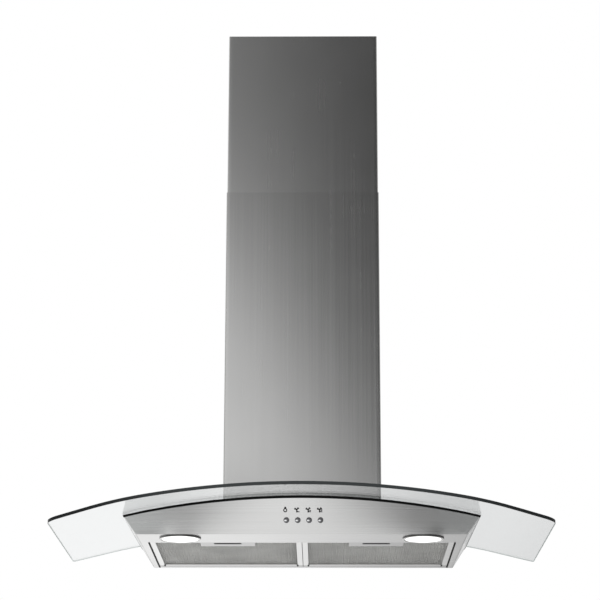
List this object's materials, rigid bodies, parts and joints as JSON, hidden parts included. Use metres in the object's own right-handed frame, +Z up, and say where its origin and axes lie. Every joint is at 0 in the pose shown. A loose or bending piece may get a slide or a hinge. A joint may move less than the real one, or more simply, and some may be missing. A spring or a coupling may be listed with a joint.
{
  "type": "curved glass range hood",
  "caption": "Wall-mounted range hood: arched glass canopy over a shallow steel body with grease filters, lamps and push buttons, and a telescoping chimney cover over a centrifugal blower.",
  "frame": {"origin": "middle of the body's flat back face, on the wall plane and the centreline, 30 mm above the body's underside", "axes": "+Z up, +Y into the wall, the front looks along -Y, +X to the right seen from the front"},
  "size_m": [0.898, 0.5, 1.0134],
  "materials": {
    "glass": "clear tempered glass, polished edge",
    "rubber": "black seal",
    "brushed_steel": "brushed, grain upright on the chimney and level on the body",
    "galvanised": "galvanised sheet",
    "aluminium": "satin frame and layered mesh",
    "chrome": "polished",
    "lens": "white diffusing lens",
    "black_plastic": "moulded",
    "grey_plastic": "moulded",
    "dark_steel": "machined"
  },
  "bodies": {
    "hood": {"glass_canopy": "glass", "glass_gasket": "rubber", "body_skirt": "brushed_steel", "underside_frame": "brushed_steel", "deck_and_back": "galvanised", "glass_bolt_1": "chrome", "glass_bolt_2": "chrome", "glass_bolt_3": "chrome", "glass_bolt_4": "chrome", "wall_hook_left": "galvanised", "wall_hook_right": "galvanised", "lamp_bezel_left": "chrome", "lamp_lens_left": "lens", "lamp_holder_left": "grey_plastic", "lamp_bezel_right": "chrome", "lamp_lens_right": "lens", "lamp_holder_right": "grey_plastic", "switch_block": "black_plastic", "control_box": "black_plastic", "run_capacitor": "grey_plastic", "cable_gland": "black_plastic", "blower_box": "galvanised", "scroll_casing": "black_plastic", "scroll_cover": "black_plastic", "motor": "dark_steel", "outlet_collar": "black_plastic", "damper_pin": "dark_steel", "lower_chimney": "brushed_steel"},
    "filter_left": {"filter_frame_left": "aluminium", "filter_mesh_left": "aluminium"},
    "filter_right": {"filter_frame_right": "aluminium", "filter_mesh_right": "aluminium"},
    "latch_left": {"filter_latch_left": "black_plastic"},
    "latch_right": {"filter_latch_right": "black_plastic"},
    "button_light": {"button_light": "chrome"},
    "button_speed_low": {"button_speed_low": "chrome"},
    "button_speed_medium": {"button_speed_medium": "chrome"},
    "button_speed_high": {"button_speed_high": "chrome"},
    "impeller": {"impeller": "grey_plastic", "motor_shaft": "dark_steel"},
    "damper_left": {"damper_flap_left": "black_plastic"},
    "damper_right": {"damper_flap_right": "black_plastic"},
    "upper_chimney": {"upper_chimney": "brushed_steel", "chimney_bracket": "galvanised", "chimney_screw_left": "chrome", "chimney_screw_right": "chrome"}
  },
  "joints": [
    {"name": "button_light_push", "type": "slide", "parent": "hood", "child": "button_light", "axis": [0, 0.9129, 0.4081], "range_m": [0, 0.002], "stiffness_N_per_m": 600, "springref_m": -0.0006},
    {"name": "button_speed_low_push", "type": "slide", "parent": "hood", "child": "button_speed_low", "axis": [0, 0.9129, 0.4081], "range_m": [0, 0.002], "stiffness_N_per_m": 600, "springref_m": -0.0006},
    {"name": "button_speed_medium_push", "type": "slide", "parent": "hood", "child": "button_speed_medium", "axis": [0, 0.9129, 0.4081], "range_m": [0, 0.002], "stiffness_N_per_m": 600, "springref_m": -0.0006},
    {"name": "button_speed_high_push", "type": "slide", "parent": "hood", "child": "button_speed_high", "axis": [0, 0.9129, 0.4081], "range_m": [0, 0.002], "stiffness_N_per_m": 600, "springref_m": -0.0006},
    {"name": "filter_left_drop", "type": "hinge", "parent": "hood", "child": "filter_left", "pos_m": [-0.14, -0.014, -0.02885], "axis": [1, 0, 0], "range_deg": [0, 60]},
    {"name": "latch_left_slide", "type": "slide", "parent": "filter_left", "child": "latch_left", "axis": [0, 1, 0], "range_m": [0, 0.005], "stiffness_N_per_m": 400, "springref_m": -0.001},
    {"name": "filter_right_drop", "type": "hinge", "parent": "hood", "child": "filter_right", "pos_m": [0.14, -0.014, -0.02885], "axis": [1, 0, 0], "range_deg": [0, 60]},
    {"name": "latch_right_slide", "type": "slide", "parent": "filter_right", "child": "latch_right", "axis": [0, 1, 0], "range_m": [0, 0.005], "stiffness_N_per_m": 400, "springref_m": -0.001},
    {"name": "impeller_spin", "type": "hinge", "parent": "hood", "child": "impeller", "pos_m": [-0.008, -0.12, 0.142], "axis": [0, -1, 0], "continuous": true},
    {"name": "damper_left_lift", "type": "hinge", "parent": "hood", "child": "damper_left", "pos_m": [0, -0.117, 0.3258], "axis": [0, 1, 0], "range_deg": [0, 75]},
    {"name": "damper_right_lift", "type": "hinge", "parent": "hood", "child": "damper_right", "pos_m": [0, -0.117, 0.3258], "axis": [0, -1, 0], "range_deg": [0, 75]},
    {"name": "upper_chimney_slide", "type": "slide", "parent": "hood", "child": "upper_chimney", "axis": [0, 0, 1], "range_m": [-0.305, 0.08]}
  ]
}
